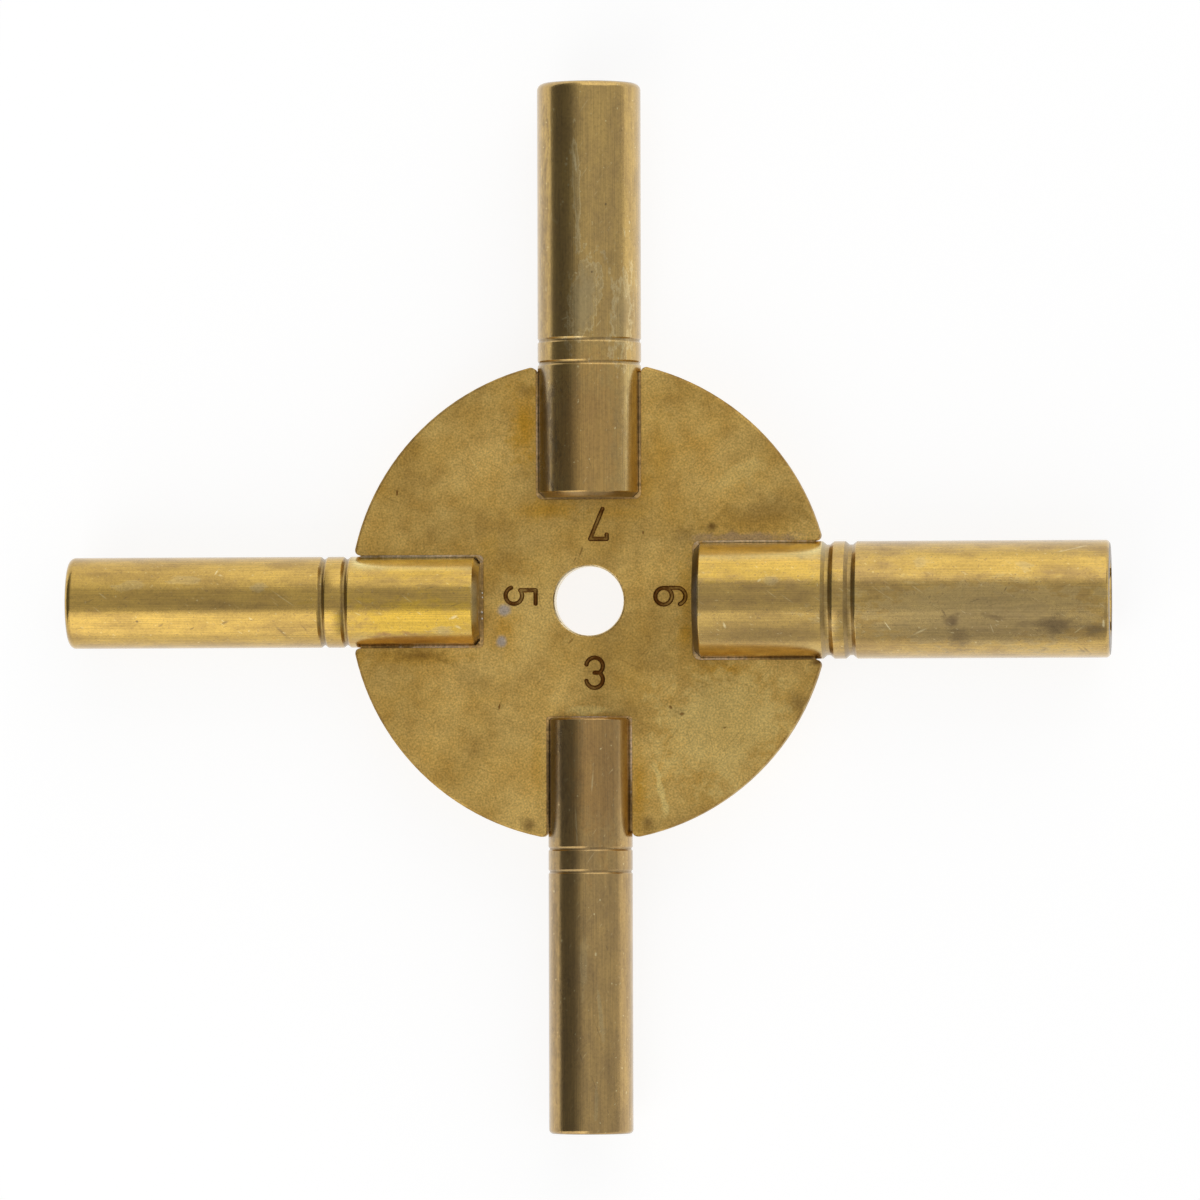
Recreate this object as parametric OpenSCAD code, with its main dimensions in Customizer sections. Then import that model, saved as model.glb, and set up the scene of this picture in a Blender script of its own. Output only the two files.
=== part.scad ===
// Four-way clock winding key in the odd sizes: a flat brass disc with four
// socket barrels let into slots in its rim and soldered there. Each barrel is
// turned from rod, marked with two grooves, and broached with a square socket
// that fits the winding square of a clock.
//
// Millimetres. The origin is the middle of the hang hole, half way through the
// disc. +Z leaves the numbered face. The 9, 7, 5 and 3 barrels run out along
// +X, +Y, -X and -Y.

/* [Disc] */
// Diameter of the disc
disc_d = 34.8; // [32:0.1:42]
// Thickness of the disc
disc_t = 2; // [1.4:0.1:3]
// Chamfer on the disc's rim and on its hang hole
disc_edge = 0.15; // [0.1:0.05:0.3]
// Diameter of the hang hole
hang_hole_d = 5; // [3:0.1:6]
// Radius on the disc's corners beside the mouth of each slot
slot_mouth_r = 0.4; // [0.3:0.1:1.4]

/* [Barrels] */
// Length of every barrel
barrel_l = 30; // [27:0.5:40]
// Diameter of the 3 barrel
barrel_3_d = 6.1; // [5.6:0.1:7]
// Diameter of the 5 barrel
barrel_5_d = 6.6; // [6.2:0.1:7.4]
// Diameter of the 7 barrel
barrel_7_d = 7.5; // [7:0.1:8.4]
// Diameter of the 9 barrel
barrel_9_d = 8.5; // [7.8:0.1:9.4]
// Chamfer on the foot of the 3 barrel, the end inside the disc
foot_3_chamfer = 0.15; // [0.1:0.05:0.7]
// Chamfer on the foot of the 5 barrel
foot_5_chamfer = 0.3; // [0.1:0.05:0.7]
// Chamfer on the foot of the 7 barrel
foot_7_chamfer = 0.4; // [0.1:0.05:0.7]
// Chamfer on the foot of the 9 barrel
foot_9_chamfer = 0.5; // [0.1:0.05:0.7]
// Chamfer on the mouth of a barrel, the end with the socket
mouth_chamfer = 0.3; // [0.1:0.05:0.35]

/* [Grooves] */
// From the foot of the 3 barrel to its first groove
groove_3_start = 9.45; // [9:0.05:11]
// From the foot of any other barrel to its first groove
groove_start = 9.7; // [9:0.05:11]
// From the first groove to the second
groove_pitch = 1.65; // [1.2:0.05:2.4]
// Width of a groove on the 3 barrel
groove_3_w = 0.3; // [0.3:0.05:0.9]
// Width of a groove on the 5 barrel
groove_5_w = 0.55; // [0.3:0.05:0.9]
// Width of a groove on the 7 barrel
groove_7_w = 0.35; // [0.3:0.05:0.9]
// Width of a groove on the 9 barrel
groove_9_w = 0.85; // [0.3:0.05:0.9]
// Angle between the two sides of a groove, in degrees
groove_angle = 100; // [80:5:120]

/* [Sockets] */
// Across the flats of the 3 socket
socket_3_af = 3; // [2.7:0.05:3.3]
// Across the flats of the 5 socket
socket_5_af = 3.5; // [3.2:0.05:3.8]
// Across the flats of the 7 socket
socket_7_af = 4; // [3.7:0.05:4.3]
// Across the flats of the 9 socket
socket_9_af = 4.5; // [4.2:0.05:4.8]
// Depth of the square
socket_depth = 12; // [8:0.5:15]
// Chip room drilled beyond the square
chip_room = 3; // [1:0.5:4]
// How much wider the drilled pilot is than the square's flats
pilot_over = 0.1; // [0.05:0.05:0.2]
// Angle of the drill's point, in degrees
drill_point = 118; // [90:1:140]
// How far the countersink at the mouth reaches outside the flats
socket_lead = 0.6; // [0.3:0.05:0.8]

/* [Soldered joints] */
// How far the 3 barrel goes in from the disc's rim
seat_3 = 8.95; // [8:0.05:10.5]
// How far the 5 barrel goes in from the disc's rim
seat_5 = 9.5; // [8:0.05:10.5]
// How far the 7 barrel goes in from the disc's rim
seat_7 = 9.95; // [8:0.05:10.5]
// How far the 9 barrel goes in from the disc's rim
seat_9 = 9.8; // [8:0.05:10.5]
// Solder film between the side of a barrel and its slot
side_gap = 0.05; // [0.03:0.01:0.15]
// Solder film between the foot of the 5 barrel and the end of its slot
end_5_gap = 0.25; // [0.05:0.05:0.4]
// Solder film between the foot of any other barrel and the end of its slot
end_gap = 0.1; // [0.05:0.05:0.4]
// How far the solder lies below the faces of the disc
solder_sink = 0.1; // [0.1:0.05:0.4]

/* [Stamped numbers] */
// Height of a number
digit_h = 2.5; // [2:0.1:3]
// Width of a number for each unit of its height, between its lines' centres
digit_ratio = 0.55; // [0.5:0.01:0.65]
// Width of a stamped line
digit_line = 0.32; // [0.2:0.02:0.4]
// Depth of a stamped line
digit_depth = 0.15; // [0.05:0.05:0.3]
// From the 3 slot to the foot of its number
digit_3_gap = 1.9; // [0.1:0.05:2]
// From the 5 slot to the foot of its number
digit_5_gap = 1.45; // [0.1:0.05:2]
// From the 7 slot to the foot of its number
digit_7_gap = 0.55; // [0.1:0.05:2]
// From the 9 slot to the foot of its number
digit_9_gap = 0.35; // [0.1:0.05:2]
// How far the 3 stands to its own right of the barrel's axis
digit_3_side = 0.4; // [-1:0.05:1]
// How far the 5 stands to its own right of the barrel's axis
digit_5_side = -0.4; // [-1:0.05:1]
// How far the 7 stands to its own right of the barrel's axis
digit_7_side = -0.7; // [-1:0.05:1]
// How far the 9 stands to its own right of the barrel's axis
digit_9_side = 0.3; // [-1:0.05:1]

/* [Hidden] */

$fn = 192;
brass_plate = [0.69, 0.57, 0.30];
brass_rod = [0.74, 0.60, 0.30];
solder_grey = [0.36, 0.33, 0.28];

// One entry for each barrel, in the order 3, 5, 7, 9.
bearing = [270, 180, 90, 0];
barrel_d = [barrel_3_d, barrel_5_d, barrel_7_d, barrel_9_d];
foot_chamfer = [foot_3_chamfer, foot_5_chamfer, foot_7_chamfer, foot_9_chamfer];
groove_at = [groove_3_start, groove_start, groove_start, groove_start];
groove_w = [groove_3_w, groove_5_w, groove_7_w, groove_9_w];
socket_af = [socket_3_af, socket_5_af, socket_7_af, socket_9_af];
seat = [seat_3, seat_5, seat_7, seat_9];
foot_gap = [end_gap, end_5_gap, end_gap, end_gap];
digit_gap = [digit_3_gap, digit_5_gap, digit_7_gap, digit_9_gap];
digit_side = [digit_3_side, digit_5_side, digit_7_side, digit_9_side];
barrels = [0:3];

disc_r = disc_d / 2;
// A cutter runs this far past the face that it cuts through.
overrun = 1;

function foot_x(i) = disc_r - seat[i];
function slot_end_x(i) = foot_x(i) - foot_gap[i];
function slot_w(i) = barrel_d[i] + 2 * side_gap;
// The slot's inner corners clear the chamfered foot of the barrel.
function slot_corner_r(i) = foot_chamfer[i] + side_gap;
// Centre of the corner rounding that touches both the slot's side and the rim.
function mouth_y(i) = slot_w(i) / 2 + slot_mouth_r;
function mouth_x(i) = sqrt(pow(disc_r - slot_mouth_r, 2) - pow(mouth_y(i), 2));

// Turns a child, drawn with its barrel along +X, to that barrel's place.
module at_barrel(i) {
    rotate([0, 0, bearing[i]]) children();
}

// A body of revolution along +X, from points of [radius, distance along X].
module turned(points) {
    rotate([0, 90, 0]) rotate_extrude() polygon(points);
}

// The outside of a barrel, with its foot at the origin.
module barrel_body(i) {
    r = barrel_d[i] / 2;
    half = groove_w[i] / 2;
    bottom = r - half / tan(groove_angle / 2);
    first = groove_at[i];
    second = first + groove_pitch;
    foot = foot_chamfer[i];
    turned([
        [0, 0], [r - foot, 0], [r, foot],
        [r, first - half], [bottom, first], [r, first + half],
        [r, second - half], [bottom, second], [r, second + half],
        [r, barrel_l - mouth_chamfer], [r - mouth_chamfer, barrel_l], [0, barrel_l]
    ]);
}

// The drilled and countersunk pilot, then the broached square.
module socket(i) {
    af = socket_af[i];
    pilot_r = (af + pilot_over) / 2;
    lead_r = af / 2 + socket_lead;
    drilled = barrel_l - socket_depth - chip_room;
    turned([
        [0, drilled - pilot_r / tan(drill_point / 2)], [pilot_r, drilled],
        [pilot_r, barrel_l - (lead_r - pilot_r)], [lead_r, barrel_l],
        [lead_r, barrel_l + overrun], [0, barrel_l + overrun]
    ]);
    translate([barrel_l - socket_depth, -af / 2, -af / 2])
        cube([socket_depth + overrun, af, af]);
}

module barrel(i) {
    color(brass_rod)
        at_barrel(i) translate([foot_x(i), 0, 0])
            difference() {
                barrel_body(i);
                socket(i);
            }
}

// Plan of a slot with rounded inner corners, from its end out to x.
module slot_plan(i, x) {
    w = slot_w(i);
    r = slot_corner_r(i);
    start = slot_end_x(i);
    translate([start + r, -w / 2]) square([x - start - r, w]);
    translate([start, r - w / 2]) square([r + overrun, w - 2 * r]);
    for (side = [-1, 1]) translate([start + r, side * (w / 2 - r)]) circle(r);
}

// What is filed off the disc's two corners beside a slot's mouth.
module mouth_corners(i) {
    centre = [mouth_x(i), mouth_y(i)];
    outside = centre * (disc_r + overrun) / norm(centre);
    for (side = [0, 1]) mirror([0, side])
        difference() {
            polygon([
                centre, [mouth_x(i), slot_w(i) / 2],
                [disc_r + overrun, slot_w(i) / 2], outside
            ]);
            translate(centre) circle(slot_mouth_r);
        }
}

// Part of a ring, drawn anticlockwise between two angles, with round ends.
module arc_line(r, from, to) {
    far = 2 * (r + digit_line);
    steps = 8;
    difference() {
        circle(r + digit_line / 2);
        circle(r - digit_line / 2);
        polygon(concat([[0, 0]], [for (k = [0:steps])
            let (a = to + (360 + from - to) * k / steps) far * [cos(a), sin(a)]]));
    }
    for (a = [from, to]) translate(r * [cos(a), sin(a)]) circle(digit_line / 2);
}

// A straight line between two points, with round ends.
module bar_line(a, b) {
    run = b - a;
    translate(a) rotate(atan2(run[1], run[0]))
        translate([0, -digit_line / 2]) square([norm(run), digit_line]);
    for (end = [a, b]) translate(end) circle(digit_line / 2);
}

// The numbers as single stamped lines, standing on the X axis with their
// middle on the Y axis. Their sizes are those of the line's centre.
module digit(n) {
    h = digit_h - digit_line;
    bowl = h * digit_ratio / 2;
    translate([0, digit_line / 2]) {
        if (n == 3) {
            waist = asin((h / 2 - bowl) / bowl);
            translate([0, h - bowl]) arc_line(bowl, -waist, 170);
            translate([0, bowl]) arc_line(bowl, -170, waist);
            bar_line([0, h / 2], [bowl * cos(waist), h / 2]);
        }
        if (n == 5) {
            shoulder = 130;
            stem_x = bowl * cos(shoulder);
            translate([0, bowl]) arc_line(bowl, -160, shoulder);
            bar_line([stem_x, bowl + bowl * sin(shoulder)], [stem_x, h]);
            bar_line([stem_x, h], [bowl, h]);
        }
        if (n == 7) {
            bar_line([-bowl, h - digit_line], [-bowl, h]);
            bar_line([-bowl, h], [bowl, h]);
            bar_line([bowl, h], [-bowl / 2, 0]);
        }
        if (n == 9) {
            translate([0, h - bowl]) difference() {
                circle(bowl + digit_line / 2);
                circle(bowl - digit_line / 2);
            }
            bar_line([bowl, bowl], [bowl, h - bowl]);
            translate([0, bowl]) arc_line(bowl, -160, 0);
        }
    }
}

// A number with its head to the hang hole and its foot to the barrel.
module stamped_digit(i) {
    sizes = [3, 5, 7, 9];
    translate([slot_end_x(i) - digit_gap[i], 0, disc_t / 2 - digit_depth])
        linear_extrude(digit_depth + overrun)
            rotate(90) translate([digit_side[i], 0]) digit(sizes[i]);
}

// A disc with both edges chamfered, with a chamfered hole through it.
module chamfered_disc() {
    half = disc_t / 2;
    hole_r = hang_hole_d / 2;
    e = disc_edge;
    rotate_extrude() polygon([
        [hole_r, -half + e], [hole_r + e, -half], [disc_r - e, -half], [disc_r, -half + e],
        [disc_r, half - e], [disc_r - e, half], [hole_r + e, half], [hole_r, half - e]
    ]);
}

module hub_disc() {
    color(brass_plate)
        difference() {
            chamfered_disc();
            for (i = barrels) at_barrel(i) {
                translate([0, 0, -disc_t / 2 - overrun])
                    linear_extrude(disc_t + 2 * overrun) {
                        slot_plan(i, disc_r + overrun);
                        mouth_corners(i);
                    }
                stamped_digit(i);
            }
        }
}

// Solder that fills the joint round a barrel's foot, up to the slot's mouth.
module solder_seam(i) {
    film_t = disc_t - 2 * solder_sink;
    color(solder_grey)
        at_barrel(i) difference() {
            translate([0, 0, -film_t / 2]) linear_extrude(film_t) slot_plan(i, mouth_x(i));
            translate([foot_x(i), 0, 0]) barrel_body(i);
        }
}

hub_disc();
barrel(0);  // barrel_3
barrel(1);  // barrel_5
barrel(2);  // barrel_7
barrel(3);  // barrel_9
solder_seam(0);  // solder_seam_3
solder_seam(1);  // solder_seam_5
solder_seam(2);  // solder_seam_7
solder_seam(3);  // solder_seam_9
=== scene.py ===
import math

import bpy
from mathutils import Matrix, Vector


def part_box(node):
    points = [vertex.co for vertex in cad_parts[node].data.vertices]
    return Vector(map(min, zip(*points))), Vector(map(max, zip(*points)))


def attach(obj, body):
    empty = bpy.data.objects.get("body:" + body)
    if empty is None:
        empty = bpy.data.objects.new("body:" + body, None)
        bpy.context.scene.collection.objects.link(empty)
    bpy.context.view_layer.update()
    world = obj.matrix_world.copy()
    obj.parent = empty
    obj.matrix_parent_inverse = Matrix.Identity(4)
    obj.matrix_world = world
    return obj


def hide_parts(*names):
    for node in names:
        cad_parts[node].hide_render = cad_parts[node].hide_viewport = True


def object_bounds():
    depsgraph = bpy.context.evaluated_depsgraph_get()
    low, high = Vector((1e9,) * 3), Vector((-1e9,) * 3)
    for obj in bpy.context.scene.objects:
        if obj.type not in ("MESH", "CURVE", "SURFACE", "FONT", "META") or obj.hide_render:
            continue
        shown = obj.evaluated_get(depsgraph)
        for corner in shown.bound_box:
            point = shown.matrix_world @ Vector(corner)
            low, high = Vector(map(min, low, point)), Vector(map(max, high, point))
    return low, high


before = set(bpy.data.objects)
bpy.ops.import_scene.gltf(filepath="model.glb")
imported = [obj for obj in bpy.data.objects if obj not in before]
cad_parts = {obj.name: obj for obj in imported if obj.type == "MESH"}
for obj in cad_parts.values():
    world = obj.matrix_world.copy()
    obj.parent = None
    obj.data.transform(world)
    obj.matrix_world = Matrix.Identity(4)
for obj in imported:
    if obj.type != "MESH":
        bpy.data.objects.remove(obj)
cad_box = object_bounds()
MM = 0.001

# The camera looks down on the numbered face from 0.7 m above, standing a little to the right of the
# key and towards the 3 barrel. It aims at the middle of the key, and is turned a fifth of a degree
# about its own axis.
VIEW_LEAN = (0.0826, -0.026)
VIEW_ROLL = math.radians(-0.21)
VIEW_CENTRE = Vector((0.725, 0.0735, 0)) * MM
VIEW_DISTANCE = 0.7
VIEW_WIDTH = 86.74 * MM
SENSOR = 36.0
toward = Vector((*VIEW_LEAN, 1)) * VIEW_DISTANCE
camera_data = bpy.data.cameras.new("camera")
camera_data.sensor_width = SENSOR
camera_data.lens = SENSOR * toward.length / VIEW_WIDTH
camera = bpy.data.objects.new("camera", camera_data)
bpy.context.scene.collection.objects.link(camera)
camera.location = VIEW_CENTRE + toward
aim = Vector((0, 0, 1)).rotation_difference(toward)
camera.rotation_euler = (aim.to_matrix() @ Matrix.Rotation(VIEW_ROLL, 3, "Z")).to_euler()
bpy.context.scene.camera = camera
bpy.context.scene.view_settings.view_transform = "Standard"

# The table is a wide sheet of white paper, and the key lies on it on its thickest barrel. The paper
# glows to the eye and in the brass, as a white sweep does in a light tent, and keeps a faint shadow.
PAPER = "#8A8A8A"
WHITE_LIGHT = "#FFFFFF"
PAPER_GLOW = 0.84
TABLE_SIZE = 8.0


def linear(code):
    """An sRGB hex colour as linear red, green, blue and alpha."""
    parts = [int(code[k:k + 2], 16) / 255 for k in (1, 3, 5)]
    return (*[c / 12.92 if c <= 0.04045 else ((c + 0.055) / 1.055) ** 2.4 for c in parts], 1)


def add(tree, kind, inputs, **settings):
    """A new node with its settings, and with its inputs set or linked."""
    node = tree.nodes.new(kind)
    for name, value in settings.items():
        setattr(node, name, value)
    for name, value in inputs.items():
        if isinstance(value, bpy.types.NodeSocket):
            tree.links.new(value, node.inputs[name])
        else:
            node.inputs[name].default_value = value
    return node


def new_material(name):
    """A material with no nodes yet, and its tree."""
    material = bpy.data.materials.new(name)
    material.use_nodes = True
    material.node_tree.nodes.clear()
    return material, material.node_tree


bpy.ops.mesh.primitive_plane_add(size=TABLE_SIZE, location=(0, 0, cad_box[0].z))
table = bpy.context.object
table.name = "table"
paper, tree = new_material("white_paper")
path = add(tree, "ShaderNodeLightPath", {})
seen = add(tree, "ShaderNodeMath", {0: path.outputs["Is Camera Ray"], 1: path.outputs["Is Glossy Ray"]},
           operation="MAXIMUM")
seen = add(tree, "ShaderNodeMath", {0: seen.outputs[0], 1: path.outputs["Is Transmission Ray"]},
           operation="MAXIMUM")
glow = add(tree, "ShaderNodeMath", {0: seen.outputs[0], 1: PAPER_GLOW}, operation="MULTIPLY")
shine = add(tree, "ShaderNodeEmission", {"Color": linear(WHITE_LIGHT), "Strength": glow.outputs[0]})
matt = add(tree, "ShaderNodeBsdfDiffuse", {"Color": linear(PAPER)})
both = add(tree, "ShaderNodeAddShader", {0: matt.outputs[0], 1: shine.outputs[0]})
add(tree, "ShaderNodeOutputMaterial", {"Surface": both.outputs[0]})
table.data.materials.append(paper)

# Two softboxes stand on the table, a wide one behind the 7 and a nearer one in front, to the left of
# the 3. The room over them is an even grey, and falls away to a dark wall on the 5's side.
SOFTBOXES = {
    "softbox_behind": {"left": -0.13, "right": 0.75, "place": 0.6, "height": 0.8, "glow": 0.72},
    "softbox_front": {"left": -0.65, "right": -0.045, "place": -0.35, "height": 0.79, "glow": 0.98},
}
ROOM_GREY = 0.55
ROOM_DARK = 0.12
DARK_WALL = (-0.74, -0.12)
for name, box in SOFTBOXES.items():
    lamp = bpy.data.lights.new(name, "AREA")
    lamp.shape = "RECTANGLE"
    lamp.size = box["right"] - box["left"]
    lamp.size_y = box["height"]
    lamp.energy = box["glow"] * math.pi * lamp.size * lamp.size_y
    softbox = bpy.data.objects.new(name, lamp)
    bpy.context.scene.collection.objects.link(softbox)
    softbox.location = ((box["left"] + box["right"]) / 2, box["place"], box["height"] / 2)
    softbox.rotation_euler = (math.copysign(math.pi / 2, -box["place"]), 0, 0)
world = bpy.data.worlds.new("room")
bpy.context.scene.world = world
world.use_nodes = True
tree = world.node_tree
tree.nodes.clear()
heading = add(tree, "ShaderNodeTexCoord", {})
across = add(tree, "ShaderNodeSeparateXYZ", {0: heading.outputs["Generated"]})
level = add(tree, "ShaderNodeMapRange", {
    "Value": across.outputs["X"], "From Min": DARK_WALL[0], "From Max": DARK_WALL[1],
    "To Min": ROOM_DARK, "To Max": ROOM_GREY}, interpolation_type="SMOOTHSTEP")
room = add(tree, "ShaderNodeBackground", {"Color": linear(WHITE_LIGHT), "Strength": level.outputs[0]})
add(tree, "ShaderNodeOutputWorld", {"Surface": room.outputs[0]})

# The disc is rolled brass sheet, sawn round, slotted from its rim and drilled, with the four sizes
# punched beside the slots. Its edges are broken with a file, and the punched lines have sloping walls.
SHEET_FACE = 1 * MM
EDGE_BREAK = 0.04 * MM
EDGE_STEPS = 3
PUNCH_FLOOR = 0.85 * MM
PUNCH_SLOPE = 0.09 * MM
PUNCH_RISE = 0.11 * MM
PUNCH_EDGE = 0.02 * MM
PUNCH_ZONE = (2.8 * MM, 7.28 * MM)
SAME_LEVEL = 0.01 * MM
SAME_POINT = 0.001 * MM
EDGE_POINT = 0.002 * MM
SLIVER = 0.0005 * MM
FACES_UP = 0.9
FLAT_ANGLE = math.radians(0.2)
SHARP_ANGLE = math.radians(30)
SMOOTH_ANGLE = math.radians(35)


def copy_solid(name, node, picking):
    """A copy of a solid as a piece of its own, in edit mode, with its loose triangles joined."""
    bpy.ops.object.select_all(action="DESELECT")
    piece = bpy.data.objects.new(name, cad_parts[node].data.copy())
    bpy.context.scene.collection.objects.link(piece)
    piece.select_set(True)
    bpy.context.view_layer.objects.active = piece
    bpy.ops.object.mode_set(mode="EDIT")
    bpy.ops.mesh.select_mode(type=picking)
    bpy.ops.mesh.select_all(action="SELECT")
    bpy.ops.mesh.remove_doubles(threshold=SAME_POINT)
    return piece


def smooth_edges(piece):
    """Smooth shading for the active piece, with its flat faces kept flat beside their rounded edges."""
    bpy.ops.object.shade_smooth_by_angle(angle=SMOOTH_ANGLE)
    flat_faces = piece.modifiers.new("flat_faces", "WEIGHTED_NORMAL")
    flat_faces.keep_sharp = True
    bpy.ops.object.modifier_apply(modifier=flat_faces.name)


disc = copy_solid("disc", "hub_disc", "FACE")
bpy.ops.mesh.dissolve_limited(angle_limit=FLAT_ANGLE)
bpy.ops.mesh.select_all(action="DESELECT")
bpy.ops.object.mode_set(mode="OBJECT")
for face in disc.data.polygons:
    face.select = abs(face.center.z - PUNCH_FLOOR) < SAME_LEVEL and face.normal.z > FACES_UP
bpy.ops.object.mode_set(mode="EDIT")
bpy.ops.mesh.inset(thickness=PUNCH_SLOPE)
bpy.ops.object.mode_set(mode="OBJECT")
floor = {corner for face in disc.data.polygons if face.select for corner in face.vertices}
bpy.ops.object.mode_set(mode="EDIT")
bpy.ops.mesh.select_mode(type="VERT")
bpy.ops.mesh.select_all(action="DESELECT")
bpy.ops.object.mode_set(mode="OBJECT")
for corner in disc.data.vertices:
    punched = PUNCH_ZONE[0] < corner.co.xy.length < PUNCH_ZONE[1]
    sunk = abs(corner.co.z - PUNCH_FLOOR) < SAME_LEVEL
    corner.select = punched and sunk and corner.index not in floor
bpy.ops.object.mode_set(mode="EDIT")
bpy.ops.transform.translate(value=(0, 0, PUNCH_RISE))
bpy.ops.mesh.select_mode(type="EDGE")
for punched, width in ((False, EDGE_BREAK), (True, PUNCH_EDGE)):
    bpy.ops.mesh.select_all(action="DESELECT")
    bpy.ops.mesh.edges_select_sharp(sharpness=SHARP_ANGLE)
    bpy.ops.object.mode_set(mode="OBJECT")
    for edge in disc.data.edges:
        ends = [disc.data.vertices[k].co for k in edge.vertices]
        low_end = min(end.z for end in ends)
        in_zone = all(PUNCH_ZONE[0] < end.xy.length < PUNCH_ZONE[1] for end in ends) and low_end > 0
        on_face = low_end > SHEET_FACE - SAME_POINT
        edge.select = edge.select and in_zone == punched and (on_face or not punched)
    bpy.ops.object.mode_set(mode="EDIT")
    bpy.ops.mesh.bevel(offset=width, segments=EDGE_STEPS)
bpy.ops.mesh.select_all(action="SELECT")
bpy.ops.mesh.remove_doubles(threshold=EDGE_POINT)
bpy.ops.mesh.dissolve_degenerate(threshold=SLIVER)
bpy.ops.object.mode_set(mode="OBJECT")
smooth_edges(disc)
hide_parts("hub_disc")
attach(disc, "root")


def marks(tree, place, ragged, spots, height=1.0, firm=0.35):
    """How far a point lies in any of these spots, from 0 to 1, with the spots' edges made ragged.

    A spot has its middle, half its length and half its width in millimetres, its turn in degrees and
    its strength. The height is half the spot's thickness in metres, and firm is the share of the spot
    that is covered in full.
    """
    cover = None
    for x, y, half_length, half_width, turn, strength in spots:
        own = add(tree, "ShaderNodeMapping", {
            "Vector": place, "Location": (x * MM, y * MM, 0), "Rotation": (0, 0, math.radians(turn)),
            "Scale": (half_length * MM, half_width * MM, height)}, vector_type="TEXTURE")
        away = add(tree, "ShaderNodeVectorMath", {0: own.outputs[0]}, operation="LENGTH")
        frayed = add(tree, "ShaderNodeMath", {0: away.outputs["Value"], 1: ragged}, operation="MULTIPLY")
        spot = add(tree, "ShaderNodeMapRange", {
            "Value": frayed.outputs[0], "From Min": 1.0, "From Max": firm,
            "To Min": 0.0, "To Max": strength}, interpolation_type="SMOOTHSTEP")
        if cover:
            spot = add(tree, "ShaderNodeMath", {0: cover, 1: spot.outputs[0]}, operation="MAXIMUM")
        cover = spot.outputs[0]
    return cover


def layered(tree, bare, stains_and_light):
    """The bare colour under its stains and painted light, laid on in turn: how far each covers, and its
    colour.
    """
    colour = linear(bare)
    for cover, shade in stains_and_light:
        layer = add(tree, "ShaderNodeMix", {"Factor": cover, "A": colour, "B": linear(shade)},
                    data_type="RGBA")
        colour = layer.outputs["Result"]
    return colour


# Rolled brass sheet, dull with age: a fine sandy grain, cloudy tarnish, gold and orange heat tints
# beside the soldered slots, brown stains, pale hazes, smears and specks of solder, hairline scratches,
# brown dirt in the numbers and on the sawn rim. One broad pale patch at the lower right of the face is
# painted light, and the wall of the hole is painted pale, a painted reflection of the white table.
SHEET_CLEAN = "#EFCB78"
SHEET_DULL = "#C9A65C"
HEAT_GOLD = "#D6A43A"
STAIN_BROWN = "#7C5A2C"
PALE_HAZE_AND_LIGHT = "#F8DE8E"
SMEAR_GREY = "#BD9F7C"
SPECK_GREY = "#C3B8AE"
DIRT = "#6E3F14"
SCRATCH_DARK = "#9A7840"
HOLE_PAINTED_LIGHT = "#F4E6C4"
GRAIN = 0.14 * MM
GRAIN_DEPTH = 0.03 * MM
FRAY = 0.6 * MM
MOTTLE = 1.5 * MM
BLUSH = 3 * MM
CLOUD = 7 * MM
HAIR = 0.12 * MM
HAIR_STRETCH = (0.04, 1, 1)
HAIR_SETS = ((25, 3 * MM), (-50, 11 * MM), (80, 23 * MM))
DIRT_TOP = 0.98 * MM
DIRT_FULL = 0.9 * MM
DIRT_FLOOR = 0.852 * MM
SAWN_RIM = (17.2 * MM, 17.3 * MM)
HOLE_WALL = 2.6 * MM
HOLE_ROUGH = 0.25
HEAT_TINTS = [
    (-4.6, 12.75, 1.6, 3.8, 0, 1.0), (-2.9, 6.6, 3.6, 1.1, 0, 0.8), (2.2, 6.4, 2.8, 0.9, 0, 0.45),
    (7.1, 0.0, 0.8, 4.6, 0, 0.6), (7.0, -2.4, 1.0, 2.0, 0, 0.8), (9.8, -5.0, 3.2, 0.8, 0, 0.6),
    (3.6, -13.5, 0.9, 4.0, 0, 0.8), (-7.2, 3.9, 1.2, 1.6, 0, 0.4), (-6.0, -2.0, 1.5, 3.0, 0, 0.55),
    (-5.4, -1.2, 1.3, 1.0, 0, 0.5), (3.5, 8.0, 3.5, 1.8, 30, 0.45), (-12.5, -4.0, 5.5, 0.8, 0, 0.6),
    (-4.4, 2.2, 3.4, 2.4, 0, 0.3), (5.2, 10.5, 1.4, 5.0, 0, 0.4), (11.0, 5.6, 5.5, 1.5, 0, 0.45),
    (-3.7, -11.5, 0.8, 3.6, 0, 0.4)]
BROWN_STAINS = [
    (12.6, 6.2, 5.0, 2.0, 10, 0.4), (-12.3, -3.9, 2.6, 0.6, 0, 0.6), (15.2, -7.5, 1.2, 1.6, 60, 0.5),
    (6.4, -8.0, 0.8, 0.5, 20, 0.5), (16.5, -4.5, 0.7, 0.4, 0, 0.9), (8.9, 5.3, 0.7, 0.5, 0, 0.9),
    (-4.4, -16.2, 0.8, 0.8, 0, 0.7), (4.2, -16.0, 0.7, 0.8, 0, 0.6), (-4.6, 15.2, 0.9, 0.9, 0, 0.4),
    (-8.5, -5.6, 3.0, 1.6, -30, 0.25), (7.0, 4.6, 1.4, 1.0, 0, 0.3)]
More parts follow.
